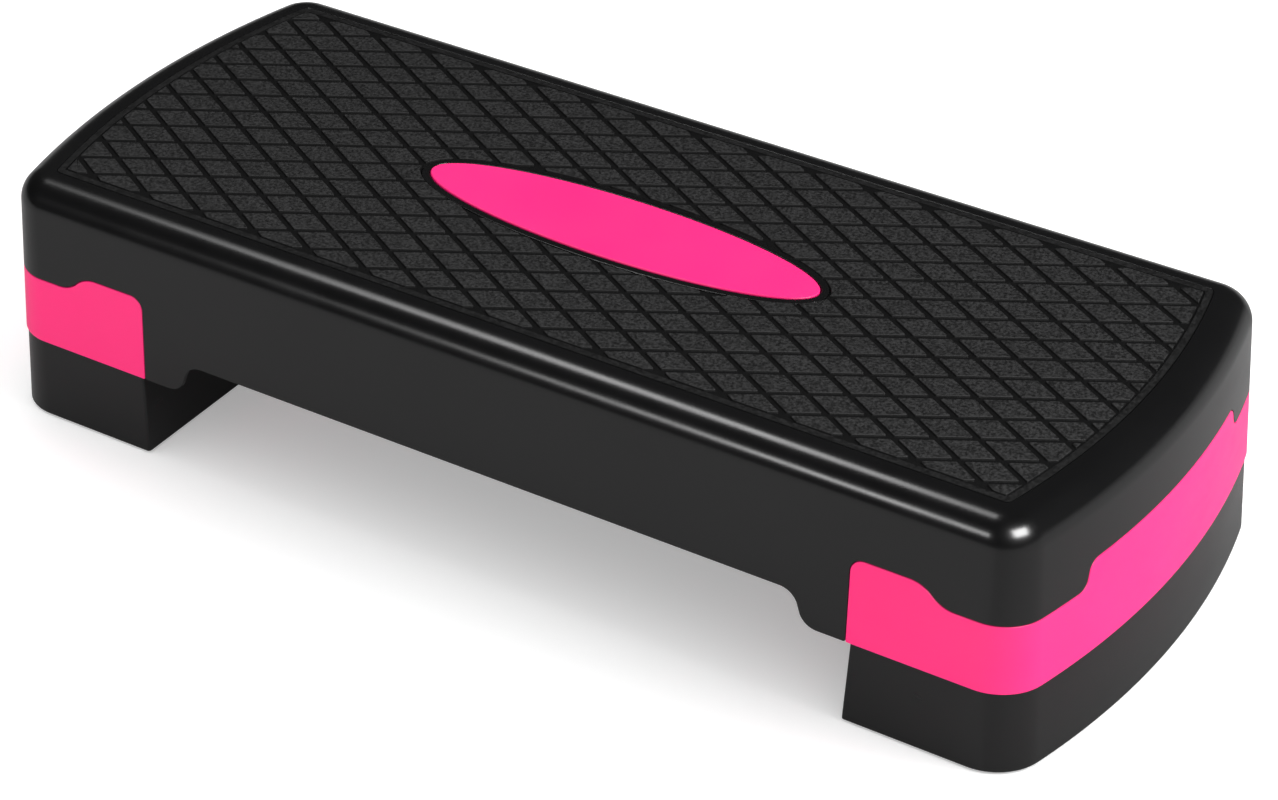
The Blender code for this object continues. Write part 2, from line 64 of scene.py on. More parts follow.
# ---- sizes taken from the CAD
DECK_LOW, DECK_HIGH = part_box("deck_shell")
MAT_LOW, MAT_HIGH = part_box("tread_mat")
INLAY_LOW, INLAY_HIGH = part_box("centre_inlay")
RISER_LOW, RISER_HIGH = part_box("upper_riser_right")
FOOT_LOW, FOOT_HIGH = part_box("lower_riser_right")
PAD_LOW, PAD_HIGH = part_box("lower_pad_right_1")

HALF_LENGTH = FOOT_HIGH.x
HALF_WIDTH = FOOT_HIGH.y
FOOT_BOTTOM = FOOT_LOW.z
DECK_BOTTOM = DECK_LOW.z
DECK_TOP = DECK_HIGH.z
RISER_BOTTOM = RISER_LOW.z
RISER_TOP = RISER_HIGH.z
MAT_TOP = MAT_HIGH.z
INBOARD_X = FOOT_LOW.x
GAP = RISER_LOW.x - INBOARD_X
FOOT_TOP = RISER_BOTTOM - GAP
SKIN_INSET = HALF_WIDTH - DECK_HIGH.y

# ---- skin and side openings
END_RADIUS = 0.5050         # bow of the end faces
CORNER_RADIUS = 0.0300      # upright corners
DRAFT = math.radians(3.0)
WALL = 0.0026
FOOT_LEAN = 0.0023          # how far the lower riser's walls lean in over their height
EDGE_RADIUS = 0.0175        # round top edge of the deck
ARCH_TOP = FOOT_BOTTOM + 0.0678
ARCH_FLAT_X = 0.1865        # where the arch in each long side starts to curve down
ARCH_TAB_X = 0.2095         # and where it reaches the tab beside the riser
CUT_SIDE_TOP = FOOT_BOTTOM + 0.1000
CUT_CORNER_TOP = FOOT_BOTTOM + 0.0892
CUT_END_TOP = FOOT_BOTTOM + 0.1040
CUT_CORNER_RADIUS = 0.0080
CUT_SIDE_STEP = (0.2600, 0.2865)    # where the opening's edge dips towards the corner, along X
CUT_END_STEP = (0.0765, 0.0925)     # and where it climbs again on the end, along Y
EDGE_ROUND = 0.00045        # moulded edges
INNER_ROUND = 0.0002
PANEL_GRID = 0.0060         # spacing in Z of the points inside a curved wall
PANEL_CLEAR = 0.0015        # and how far they stay from its edge

# ---- deck
RECESS_FLOOR = MAT_LOW.z - GAP
CEILING = RECESS_FLOOR - WALL
CEILING_ROUND = 0.0130
SKIRT_TOP = CEILING - 0.0300    # the walls are swept above this level and cut out below it
LEDGE = 0.0020              # level strip that a swept profile ends in
RIB = 0.0020
RIB_ROOT = WALL * 0.6       # how far a rib's end reaches into the wall
ROOF_LAP = 0.0010           # how far ribs and bosses reach into the ceiling over them
SPAN_RIB_BOTTOM = FOOT_BOTTOM + 0.1220
BEARING_RIB_BOTTOM = RISER_TOP + GAP
POCKET_RIB_X = 0.2242
DECK_RIB_Y = (-0.1020, -0.0340, 0.0340, 0.1020)
SPAN_RIB_X = (-0.1600, -0.0960, -0.0320, 0.0320, 0.0960, 0.1600)
BEARING_RIB_X = 0.2850

# ---- tread and inlay
MAT_HALF_LENGTH = MAT_HIGH.x
MAT_HALF_WIDTH = MAT_HIGH.y
MAT_END_RADIUS = 0.4750
MAT_CORNER = 0.0040
MAT_BAND = 0.0040           # plain raised border
MAT_BAND_DROP = 0.0003      # how much lower the border is than the cells
MAT_BAND_GROOVE = 0.0012
GROOVE_DEPTH = 0.0010
CELL_X = 0.0375             # diagonals of the diamond cells
CELL_Y = 0.02175
CELL_EDGE = 0.00035         # radius of a cell's top edge
CELL_CORNER = 0.0007
SMALLEST_CELL = 6e-6        # in square metres; smaller scraps at the border are left out
GROOVE_HALF = 0.0016
GROOVE_SLOPE = 0.0005

INLAY_A = INLAY_HIGH.x
INLAY_B = INLAY_HIGH.y
COLLAR_INNER = 0.0007
COLLAR_OUTER = 0.0050
POCKET_FLOOR = DECK_TOP - 0.0018
INLAY_THICK = 0.0020

# ---- risers and pads
PAD_RADIUS = (PAD_HIGH.x - PAD_LOW.x) / 2
PAD_X = (0.2480, 0.3060)
PAD_Y = (-0.1030, 0.1030)
PAD_DISH = 0.0080           # radius of the shallow dish under a pad
PAD_DISH_DEPTH = 0.0004
BOSS_RADIUS = 0.0140
WELL_RADIUS = 0.0120
WELL_DEPTH = 0.0013
SPIGOT_X = (0.2335, 0.3180)
SPIGOT_HALF_WIDTH = 0.0840
SPIGOT_TOP = FOOT_BOTTOM + 0.0620
RISER_LID = 0.0120          # width of the upper riser's swept lid
FOOT_ROOF = 0.0090          # width of the lower riser's swept ceiling
KEY_RIB_Y = (-0.0870, 0.0870)
RISER_RIB_Y = (-0.0340, 0.0340)
RISER_RIB_BOTTOM = FOOT_BOTTOM + 0.0640
FOOT_RIB_Y = (-0.0680, 0.0, 0.0680)
FOOT_RIB_BOTTOM = FOOT_BOTTOM + 0.0030

# ---- studio
FLOOR_Z = cad_box[0][2] - 0.0003
FLOOR_REACH = 6.0
GLOSS_FLOOR_Z = FLOOR_Z + 0.0002    # the two sheets that stand for the floor in gloss
GLOSS_FLOOR_FRONT = -0.78
GLOSS_FLOOR_SPLIT = 0.31
FILL_FRONT = 0.75           # world light on matt faces that look forwards and backwards
FILL_BACK = 1.40
LIT_MIDDLE = (0.0, 0.0, 0.05)       # the points that the lights face
LIT_EDGE = (0.1, -0.14, 0.14)
LIT_CORNER = (0.31, -0.13, 0.14)
CAMERA_YAW = math.radians(32.52)
CAMERA_PITCH = math.radians(33.5)
CAMERA_DISTANCE = 2.04585
CAMERA_LENS = 105.97
CAMERA_AIM = (0.04021, -0.04426)    # aim point from the middle of the object
CAMERA_AIM_Z = FOOT_BOTTOM + 0.0750


# ---- paths
def rounded(corners, steps=4):
    """An open path through corners, each (u, v) or (u, v, radius), as (u, v, du, dv) with unit
    directions."""
    out = []
    for i, (u, v, *radius) in enumerate(corners):
        before = after = None
        if i > 0:
            before = Vector((u - corners[i - 1][0], v - corners[i - 1][1])).normalized()
        if i < len(corners) - 1:
            after = Vector((corners[i + 1][0] - u, corners[i + 1][1] - v)).normalized()
        if before is None or after is None or not radius:
            out += [(u, v, d.x, d.y) for d in (before, after) if d is not None]
            continue
        turn = math.atan2(before.cross(after), before.dot(after))
        back = radius[0] * abs(math.tan(turn / 2))
        side = math.copysign(radius[0], turn)
        cu = u - before.x * back - before.y * side
        cv = v - before.y * back + before.x * side
        for k in range(steps + 1):
            angle = turn * k / steps
            du = before.x * math.cos(angle) - before.y * math.sin(angle)
            dv = before.x * math.sin(angle) + before.y * math.cos(angle)
            out.append((cu + side * dv, cv - side * du, du, dv))
    return out


def bent(corners, steps):
    """The points of a rounded path, without its directions or its two end points."""
    return [(u, v) for u, v, du, dv in rounded(corners, steps)[1:-1]]


def s_curve(start, end, steps):
    """Two equal arcs, level at both ends."""
    (u0, v0), (u1, v1) = start, end
    du = u1 - u0
    dv = v1 - v0
    radius = (du * du + dv * dv) / (4 * abs(dv))
    points = []
    for i in range(steps + 1):
        share = i / steps
        along = min(share, 1 - share) * abs(du)
        rise = math.copysign(radius - math.sqrt(radius * radius - along * along), dv)
        points.append((u0 + du * share, v0 + rise if share <= 0.5 else v1 - rise))
    return points


def side_normals(path, closed=False, sharpest=0.5):
    """Unit normals to the right of travel at each point of a path, with mitre lengths."""
    steps = [(Vector(q) - Vector(p)).normalized() for p, q in zip(path, path[1:] + path[:1])]
    if not closed:
        steps[-1] = steps[-2]
    out = []
    for i, after in enumerate(steps):
        before = steps[i - 1] if i > 0 or closed else after
        mean = (before + after).normalized()
        out.append((mean.y, -mean.x, 1 / max(sharpest, mean.dot(before))))
    return out


def moved(path, distance, *kind):
    """The path moved to its left, which is inwards for a closed anticlockwise one."""
    return [(u - nu * distance * mitre, v - nv * distance * mitre)
            for (u, v), (nu, nv, mitre) in zip(path, side_normals(path, *kind))]


def inside(point, loop):
    """Whether a point lies in a closed loop, by counting the sides to its right."""
    x, y = point
    hit = False
    for i, (x0, y0) in enumerate(loop):
        x1, y1 = loop[i - 1]
        if (y0 > y) != (y1 > y) and x < (x1 - x0) * (y - y0) / (y1 - y0) + x0:
            hit = not hit
    return hit


def triangulate(loops, extra=()):
    """Triangles between closed loops: inside the first one and outside the others."""
    points = []
    edges = []
    for loop in loops:
        start = len(points)
        points += [Vector(p) for p in loop]
        edges += [(start + i, start + (i + 1) % len(loop)) for i in range(len(loop))]
    points += [Vector(p) for p in extra]
    found, _, triangles, _, _, _ = delaunay_2d_cdt(points, edges, [], 0, 1e-7)
    kept = []
    for t in triangles:
        a, b, c = (found[i] for i in t)
        if abs((b - a).cross(c - a)) < 1e-12:
            continue
        middle = tuple((a + b + c) / 3)
        if inside(middle, loops[0]) and not any(inside(middle, h) for h in loops[1:]):
            kept.append(tuple(t))
    return [tuple(p) for p in found], kept


# ---- the shared skin
class Outline:
    """Straight long sides, round corners and bowed ends. A station is a point at distance s
    from the middle of the front, as (x, y, nx, ny)."""

    def __init__(self, half_length, half_width, end_radius, corner_radius, counts):
        self.half_width = half_width
        self.end_radius = end_radius
        self.corner_radius = corner_radius
        self.bow_x = half_length - end_radius
        self.corner_y = half_width - corner_radius
        reach = (end_radius - corner_radius) ** 2 - self.corner_y ** 2
        self.corner_x = self.bow_x + math.sqrt(reach)
        self.turn = math.atan2(self.corner_y, self.corner_x - self.bow_x)
        self.corner_end = self.corner_x + corner_radius * (math.pi / 2 - self.turn)
        self.end = self.corner_end + end_radius * self.turn
        stops = (0.0, self.corner_x, self.corner_end, self.end)
        self.columns = [0.0]
        for start, stop, count in zip(stops, stops[1:], counts):
            self.columns += [start + (stop - start) * (i + 1) / count for i in range(count)]

    def station(self, s):
        """The point at distance s along the front, round the corner and along the end."""
        if s <= self.corner_x:
            return s, -self.half_width, 0.0, -1.0
        if s <= self.corner_end:
            angle = -math.pi / 2 + (s - self.corner_x) / self.corner_radius
            centre = (self.corner_x, -self.corner_y, self.corner_radius)
        else:
            angle = (s - self.end) / self.end_radius
            centre = (self.bow_x, 0.0, self.end_radius)
        nx, ny = math.cos(angle), math.sin(angle)
        return centre[0] + centre[2] * nx, centre[1] + centre[2] * ny, nx, ny

    def loop(self):
        """Stations (x, y, mx, my, nx, ny) all the way round, anticlockwise."""
        quarter = [self.station(s) for s in self.columns]
        out = []
        for fx, fy, part in ((1, 1, quarter[:-1]), (1, -1, quarter[:0:-1]),
                             (-1, -1, quarter[:-1]), (-1, 1, quarter[:0:-1])):
            out += [(x * fx, y * fy, nx * fx, ny * fy, nx * fx, ny * fy) for x, y, nx, ny in part]
        return out

    def end_loop(self, inboard, deepest, corner=0.0010):
        """Stations round the +X end, closed by a straight inboard edge with mitred corners. The
        deepest inset of the corners stays short of the next station."""
        front = [self.station(s) for s in self.columns if s > inboard + deepest + corner]
        right = [(x, y, nx, ny, nx, ny) for x, y, nx, ny in front]
        back = [(x, -y, mx, -my, nx, -ny) for x, y, mx, my, nx, ny in reversed(right[:-1])]
        near = []
        for k in range(5):
            angle = math.pi + math.pi / 2 * k / 4
            nx, ny = math.cos(angle), math.sin(angle)
            near.append((inboard + corner * (1 + nx), -self.half_width + corner * (1 + ny),
                         -1.0, -1.0, nx, ny))
        far = [(x, -y, mx, -my, nx, -ny) for x, y, mx, my, nx, ny in reversed(near)]
        return near + right + back + far


SKIN = Outline(HALF_LENGTH, HALF_WIDTH, END_RADIUS, CORNER_RADIUS, (24, 20, 24))
TREAD = Outline(MAT_HALF_LENGTH, MAT_HALF_WIDTH, MAT_END_RADIUS, MAT_CORNER, (30, 6, 40))
FIELD = Outline(MAT_HALF_LENGTH - MAT_BAND, MAT_HALF_WIDTH - MAT_BAND, MAT_END_RADIUS - MAT_BAND,
                MAT_CORNER / 2, (30, 6, 40))


def skin_inset(z):
    """How far the drafted walls stand in from the outline at a height."""
    return SKIN_INSET + (z - DECK_BOTTOM) * math.tan(DRAFT)


def oval_loop(a, b, steps=144):
    """Stations of an oval with half axes a and b."""
    out = []
    for i in range(steps):
        angle = 2 * math.pi * i / steps
        n = Vector((math.cos(angle) / a, math.sin(angle) / b)).normalized()
        out.append((a * math.cos(angle), b * math.sin(angle), n.x, n.y, n.x, n.y))
    return out


def round_loop(x, y, steps=32):
    """Stations with no radius of their own: an inset of -r gives a circle of radius r."""
    out = []
    for i in range(steps):
        nx, ny = math.cos(2 * math.pi * i / steps), math.sin(2 * math.pi * i / steps)
        out.append((x, y, nx, ny, nx, ny))
    return out


def box_loop(x0, x1, half, corner=0.0030):
    """Stations of a rectangle with round corners."""
    out = []
    for cx, cy, start in ((1, -1, -90), (1, 1, 0), (-1, 1, 90), (-1, -1, 180)):
        px = x1 - corner if cx > 0 else x0 + corner
        for k in range(7):
            angle = math.radians(start + 15 * k)
            nx, ny = math.cos(angle), math.sin(angle)
            out.append((px + corner * nx, cy * (half - corner) + corner * ny, cx, cy, nx, ny))
    return out


def at_inset(stations, inset):
    """The loop of (x, y) at an inset from the stations."""
    return [(x - mx * inset, y - my * inset) for x, y, mx, my, nx, ny in stations]


# ---- mesh
def placed(name, data):
    """A new object in the scene."""
    obj = bpy.data.objects.new(name, data)
    bpy.context.scene.collection.objects.link(obj)
    return obj


class Shape:
    """Points with a normal each, and faces, gathered before they become one mesh object."""

    def __init__(self):
        self.points = []
        self.normals = []
        self.faces = []

    def ring(self, entries):
        """Adds points given as (point, normal) and returns their numbers."""
        start = len(self.points)
        for point, normal in entries:
            self.points.append(point)
            self.normals.append(normal)
        return list(range(start, len(self.points)))

    def level(self, points, z, up):
        """Points (x, y) at a height, with normals up or down."""
        return self.ring([((x, y, z), (0, 0, 1 if up else -1)) for x, y in points])

    def strip(self, a, b, closed=True):
        """A band of quads between two rings."""
        for i in range(len(a) if closed else len(a) - 1):
            j = (i + 1) % len(a)
            self.faces.append((a[i], a[j], b[j], b[i]))

    def sweep(self, stations, profile):
        """A profile of (inset, z, du, dz) carried round a loop of stations."""
        last = None
        for i, (inset, z, du, dz) in enumerate(profile):
            ring = self.ring([((x - mx * inset, y - my * inset, z), (nx * dz, ny * dz, du))
                              for x, y, mx, my, nx, ny in stations])
            if last and math.dist((inset, z), profile[i - 1][:2]) > 1e-7:
                self.strip(last, ring)
            last = ring

    def flat(self, loops, z, up=True):
        """A level area between loops of (x, y)."""
        points, triangles = triangulate(loops)
        made = self.level(points, z, up)
        for t in triangles:
            self.faces.append(tuple(made[i] for i in (t if up else t[::-1])))

    def disc(self, stations, inset, z, up=True):
        """A level lid on a loop that bulges everywhere."""
        made = self.level(at_inset(stations, inset), z, up)
        self.faces.append(tuple(made if up else made[::-1]))

    def prism(self, profile, axis, at, half):
        """A flat-sided bar along X with a profile in (y, z), or along Y with one in (x, z)."""

        def place(u, v, w):
            return (at + w * half, u, v) if axis == "X" else (u, at - w * half, v)

        direction = (1, 0, 0) if axis == "X" else (0, -1, 0)
        for w in (-1, 1):
            normal = tuple(w * c for c in direction)
            made = self.ring([(place(u, v, w), normal) for u, v in profile])
            self.faces.append(tuple(made if w > 0 else made[::-1]))
        for i, a in enumerate(profile):
            b = profile[(i + 1) % len(profile)]
            quad = [place(*a, 1), place(*a, -1), place(*b, -1), place(*b, 1)]
            side = (Vector(quad[1]) - Vector(quad[0])).cross(Vector(quad[2]) - Vector(quad[1]))
            made = self.ring([(p, tuple(side.normalized())) for p in quad])
            self.faces.append(tuple(made))

    def add(self, other):
        """Takes in another shape."""
        start = len(self.points)
        self.points += other.points
        self.normals += other.normals
        self.faces += [tuple(i + start for i in face) for face in other.faces]

    def mirrored(self, fx, fy):
        """The same shape with x, y or both turned round."""
        other = Shape()
        other.points = [(x * fx, y * fy, z) for x, y, z in self.points]
        other.normals = [(x * fx, y * fy, z) for x, y, z in self.normals]
        other.faces = [face[::-1] if fx * fy < 0 else face for face in self.faces]
        return other

    def object(self, name, material):
        """Joins doubled points with the same normal and makes the piece."""
        kept = {}
        index = []
        for point, normal in zip(self.points, self.normals):
            key = (*(round(c * 2e6) for c in point), *(round(c * 40) for c in normal))
            index.append(kept.setdefault(key, len(kept)))
        points = [None] * len(kept)
        normals = [None] * len(kept)
        for i, point, normal in zip(index, self.points, self.normals):
            points[i] = point
            normals[i] = normal
        faces = []
        for face in self.faces:
            new = [index[i] for i in face]
            new = [v for k, v in enumerate(new) if v != new[k - 1]]
            if len(set(new)) == len(new) > 2:
                faces.append(new)
        mesh = bpy.data.meshes.new(name)
        mesh.from_pydata(points, [], faces)
        mesh.shade_smooth()
        mesh.normals_split_custom_set_from_vertices(normals)
        mesh.materials.append(material)
        return placed(name, mesh)


# ---- curved wall panels
def wall_point(s, z, depth, around, edge=(0.0, 0.0)):
    """A point of the shared skin at the given depth, and its normal. around turns the normal
    from the skin's own (0) over the edge direction (a right angle) to the back (two)."""
    x, y, nx, ny = SKIN.station(s)
    inset = skin_inset(z) + depth
    out = Vector((nx * math.cos(DRAFT), ny * math.cos(DRAFT), math.sin(DRAFT)))
    up = Vector((-nx * math.sin(DRAFT), -ny * math.sin(DRAFT), math.cos(DRAFT)))
    along = Vector((-ny, nx, 0.0))
    normal = out * math.cos(around) + (along * edge[0] + up * edge[1]) * math.sin(around)
    return (x - nx * inset, y - ny * inset, z), tuple(normal)


def split_at_columns(path):
    """Adds the points where an open path crosses the columns of the skin."""
    out = [path[0]]
    for (s0, z0), (s1, z1) in zip(path, path[1:]):
        low, high = min(s0, s1), max(s0, s1)
        between = [c for c in SKIN.columns if low + 1e-5 < c < high - 1e-5]
        if s1 < s0:
            between.reverse()
        out += [(c, z0 + (z1 - z0) * (c - s0) / (s1 - s0)) for c in between]
        out.append((s1, z1))
    return out


def panel_face(shape, path, closing, depth, back):
    """Fills the area left of an open path in the skin, or in the wall's back."""
    loop = path + closing
    extra = []
    z = DECK_BOTTOM - PANEL_GRID
    while z < DECK_TOP:
        for s in SKIN.columns:
            if inside((s, z), loop) and min(math.dist((s, z), p) for p in loop) > PANEL_CLEAR:
                extra.append((s, z))
        z += PANEL_GRID
    points, triangles = triangulate([loop], extra)
    made = shape.ring([wall_point(s, z, depth, math.pi if back else 0.0) for s, z in points])
    for t in triangles:
        shape.faces.append(tuple(made[i] for i in (t[::-1] if back else t)))


def panel_rim(shape, path, depth, steps=4):
    """The rounded edge of a panel along an open path with the material on its left."""
    sections = []
    for k in range(steps + 1):
        a = math.pi / 2 * k / steps
        sections.append((EDGE_ROUND * (1 - math.sin(a)), EDGE_ROUND * (1 - math.cos(a)), a))
    for k in range(3):
        a = math.pi / 2 + math.pi / 4 * k
        deep = depth - INNER_ROUND * (1 + math.cos(a))
        sections.append((INNER_ROUND * (1 - math.sin(a)), deep, a))
    normals = side_normals(path)
    last = None
    for offset, deep, a in sections:
        edge = zip(moved(path, offset), normals)
        ring = shape.ring([wall_point(s, z, deep, a, normal[:2]) for (s, z), normal in edge])
        if last:
            shape.strip(ring, last, closed=False)
        last = ring


def end_s(y, z):
    """Distance along the skin of the point at -y on the bowed end."""
    return SKIN.end - END_RADIUS * math.asin(y / (END_RADIUS - skin_inset(z)))


def cut_edge(clearance):
    """Edge of the opening for the upper riser, from its inboard side to the end's middle."""
    left = INBOARD_X + clearance
    top = CUT_SIDE_TOP - clearance
    low = CUT_CORNER_TOP - clearance
    high = CUT_END_TOP - clearance
    dip_start, dip_end = CUT_SIDE_STEP
    climb_end, climb_start = CUT_END_STEP
    path = bent([(left, DECK_BOTTOM + 0.01), (left, top, CUT_CORNER_RADIUS),
                 (dip_start, top)], 10)
    path += s_curve((dip_start - clearance, top), (dip_end - clearance, low), 20)
    climb = s_curve((climb_start - clearance, low), (climb_end - clearance, high), 16)
    path += [(end_s(y, z), z) for y, z in climb]
    path.append((SKIN.end, high))
    return path


# ---- deck
def deck_edge():
    """The lower edge of a quarter of the deck: arch, tab and opening for the upper riser."""
    path = [(0.0, ARCH_TOP)]
    path += s_curve((ARCH_FLAT_X, ARCH_TOP), (ARCH_TAB_X, DECK_BOTTOM), 20)
    path += bent([(ARCH_TAB_X, DECK_BOTTOM), (INBOARD_X, DECK_BOTTOM, 0.0012),
                  (INBOARD_X, CUT_SIDE_TOP)], 6)
    return split_at_columns(path + cut_edge(0.0))


def deck_skirt(shape):
    """Round top edge, walls with their cut-outs, and the walls' inner side. Returns the insets
    at which the deck's top and its ceiling become level."""
    far = 0.05
    outer = rounded([(skin_inset(SKIRT_TOP), SKIRT_TOP),
                     (skin_inset(DECK_TOP), DECK_TOP, EDGE_RADIUS), (far, DECK_TOP)], 24)[1:-1]
    inner = rounded([(far, CEILING), (skin_inset(CEILING) + WALL, CEILING, CEILING_ROUND),
                     (skin_inset(SKIRT_TOP) + WALL, SKIRT_TOP)], 8)[1:-1]
    loop = SKIN.loop()
    shape.sweep(loop, outer)
    shape.sweep(loop, inner)
    quarter = Shape()
    path = deck_edge()
    for depth, edge, level in ((0.0, EDGE_ROUND, outer[0][1]), (WALL, INNER_ROUND, inner[-1][1])):
        border = moved(path, edge)
        closing = [(s, level) for s in reversed(SKIN.columns)]
        panel_face(quarter, border, closing, depth, depth > 0)
    panel_rim(quarter, path, WALL)
    quarter.add(quarter.mirrored(1, -1))
    quarter.add(quarter.mirrored(-1, 1))
    shape.add(quarter)
    return outer[-1][0], inner[0][0]


def deck_top(shape, margin_inset):
    """Flat margin, recess for the tread and collar with a pocket for the inlay."""
    tread = TREAD.loop()
    oval = oval_loop(INLAY_A, INLAY_B)
    shape.flat([at_inset(SKIN.loop(), margin_inset), at_inset(tread, -0.0015)], DECK_TOP)
    shape.sweep(tread, rounded([
        (-0.0015, DECK_TOP), (-GAP, DECK_TOP, 0.0004), (-GAP, RECESS_FLOOR, 0.0003),
        (LEDGE, RECESS_FLOOR)]))
    foot = -COLLAR_OUTER - LEDGE
    shape.flat([at_inset(tread, LEDGE), at_inset(oval, foot)], RECESS_FLOOR)
    shape.sweep(oval, rounded([
        (foot, RECESS_FLOOR), (-COLLAR_OUTER, RECESS_FLOOR, 0.0003),
        (-COLLAR_OUTER, DECK_TOP, 0.0006), (-COLLAR_INNER, DECK_TOP, 0.0004),
        (-COLLAR_INNER, POCKET_FLOOR, 0.0002), (LEDGE, POCKET_FLOOR)]))
    shape.disc(oval, LEDGE, POCKET_FLOOR)


def rib_reach(z):
    """Inset at which a rib ends inside the wall or the round edge."""
    centre_z = DECK_TOP - EDGE_RADIUS
    inset = skin_inset(min(z, centre_z))
    if z > centre_z:
        inset += EDGE_RADIUS - math.sqrt(EDGE_RADIUS ** 2 - (z - centre_z) ** 2)
    return inset + RIB_ROOT


def end_x(y, inset):
    """Where the bowed end stands at a distance y from the middle."""
    return SKIN.bow_x + math.sqrt((END_RADIUS - inset) ** 2 - y * y)


def deck_ribs(shape):
    """Ribs across the deck and along it."""
    top = CEILING + WALL * 0.4
    knee = DECK_TOP - EDGE_RADIUS
    crossing = [(x, SPAN_RIB_BOTTOM) for x in SPAN_RIB_X]
    crossing += [(side * BEARING_RIB_X, BEARING_RIB_BOTTOM) for side in (-1, 1)]
    crossing += [(side * POCKET_RIB_X, ARCH_TOP) for side in (-1, 1)]
    for x, bottom in crossing:
        right = [(HALF_WIDTH - rib_reach(z), z) for z in (bottom, knee, 0.5 * (knee + top), top)]
        profile = right + [(-y, z) for y, z in reversed(right)]
        shape.prism(profile, "X", x, RIB / 2)
    for y in DECK_RIB_Y:
        steps = [(end_x(y, rib_reach(z)), z) for z in (top, knee, BEARING_RIB_BOTTOM)]
        steps += [(POCKET_RIB_X, BEARING_RIB_BOTTOM), (POCKET_RIB_X, SPAN_RIB_BOTTOM)]
        profile = [(-u, z) for u, z in steps] + [(u, z) for u, z in reversed(steps)]
        shape.prism(profile, "Y", y, RIB / 2)


def deck(material):
    """The whole hollow moulding of the deck."""
    shape = Shape()
    margin, ceiling = deck_skirt(shape)
    deck_top(shape, margin)
    shape.disc(SKIN.loop(), ceiling, CEILING, up=False)
    deck_ribs(shape)
    return shape.object("deck", material)


# ---- tread
def clip(polygon, edge_point, edge_normal):
    """The part of a convex polygon behind a straight edge."""
    out = []
    for i, p in enumerate(polygon):
        q = polygon[i - 1]
        dp = (Vector(p) - edge_point).dot(edge_normal)
        dq = (Vector(q) - edge_point).dot(edge_normal)
        if (dp < 0) != (dq < 0):
            share = dq / (dq - dp)
            out.append((q[0] + (p[0] - q[0]) * share, q[1] + (p[1] - q[1]) * share))
        if dp < 0:
            out.append(p)
    return out


def clip_to_outline(polygon, outline):
    """The part of a convex polygon inside a convex outline."""
    for i, a in enumerate(outline):
        b = outline[(i + 1) % len(outline)]
        normal = Vector((b[1] - a[1], a[0] - b[0]))
        if any((Vector(p) - Vector(a)).dot(normal) > 0 for p in polygon):
            polygon = clip(polygon, Vector(a), normal)
            if len(polygon) < 3:
                return []
    return polygon


def area(polygon):
    """Area of a closed polygon, positive where it runs anticlockwise."""
    total = 0.0
    for i, (x, y) in enumerate(polygon):
        total += polygon[i - 1][0] * y - x * polygon[i - 1][1]
    return total / 2


def outside_oval(polygon, a, b):
    """The parts of a polygon outside an oval, each closed by a piece of the oval's arc."""
    spacing = 0.0004
    dense = []
    for i, p in enumerate(polygon):
        q = polygon[(i + 1) % len(polygon)]
        parts = max(1, int(math.dist(p, q) / spacing))
        dense += [(p[0] + (q[0] - p[0]) * k / parts, p[1] + (q[1] - p[1]) * k / parts)
                  for k in range(parts)]
    free = [(x / a) ** 2 + (y / b) ** 2 > 1 for x, y in dense]
    if all(free):
        return [polygon]
    count = len(dense)
    pieces = []
    for start in range(count):
        if not free[start] or free[start - 1]:
            continue
        run = []
        i = start
        while free[i % count]:
            run.append(dense[i % count])
            i += 1
        corners = [p for p in run if min(math.dist(p, q) for q in polygon) < 1e-7]
        t1 = math.atan2(run[-1][1] / b, run[-1][0] / a)
        t0 = math.atan2(run[0][1] / b, run[0][0] / a)
        sweep = (t0 - t1 + math.pi) % (2 * math.pi) - math.pi
        steps = max(2, int(abs(sweep) / 0.03))
        arc = [(a * math.cos(t1 + sweep * k / steps), b * math.sin(t1 + sweep * k / steps))
               for k in range(steps + 1)]
        pieces.append(arc + corners)
    return pieces


def soft_corners(polygon, radius):
    """A closed polygon with its corners cut round."""
    out = []
    count = len(polygon)
    for i, p in enumerate(polygon):
        q = polygon[i - 1]
        r = polygon[(i + 1) % count]
        a = (Vector(p) - Vector(q)).normalized()
        b = (Vector(r) - Vector(p)).normalized()
        turn = math.atan2(a.cross(b), a.dot(b))
        back = radius * abs(math.tan(turn / 2))
        if abs(turn) < 0.3 or back > 0.45 * min(math.dist(p, q), math.dist(p, r)):
            out.append(p)
            continue
        out += bent([q, (*p, radius), r], 4)
    return out


def cell_outlines():
    """Tops of the tread's diamond cells, cut off at the border groove and at the collar."""
    border = at_inset(FIELD.loop(), MAT_BAND_GROOVE)
    clear = COLLAR_OUTER + 0.0014
    slope = math.hypot(1 / CELL_X, 1 / CELL_Y)
    half = 0.5 - GROOVE_HALF * slope
    reach = math.ceil(MAT_HALF_LENGTH / CELL_X + MAT_HALF_WIDTH / CELL_Y) + 2
    out = []
    for m in range(-reach, reach + 1):
        for n in range(-reach, reach + 1):
            cx = CELL_X * (m + n) / 2
            cy = CELL_Y * (m - n) / 2
            if abs(cx) > MAT_HALF_LENGTH + CELL_X or abs(cy) > MAT_HALF_WIDTH + CELL_Y:
                continue
            diamond = [(cx - half * CELL_X, cy), (cx, cy - half * CELL_Y),
                       (cx + half * CELL_X, cy), (cx, cy + half * CELL_Y)]
            polygon = clip_to_outline(diamond, border)
            for piece in outside_oval(polygon, INLAY_A + clear, INLAY_B + clear):
                if len(piece) > 2 and area(piece) > SMALLEST_CELL:
                    out.append(soft_corners(piece, CELL_CORNER))
    return out


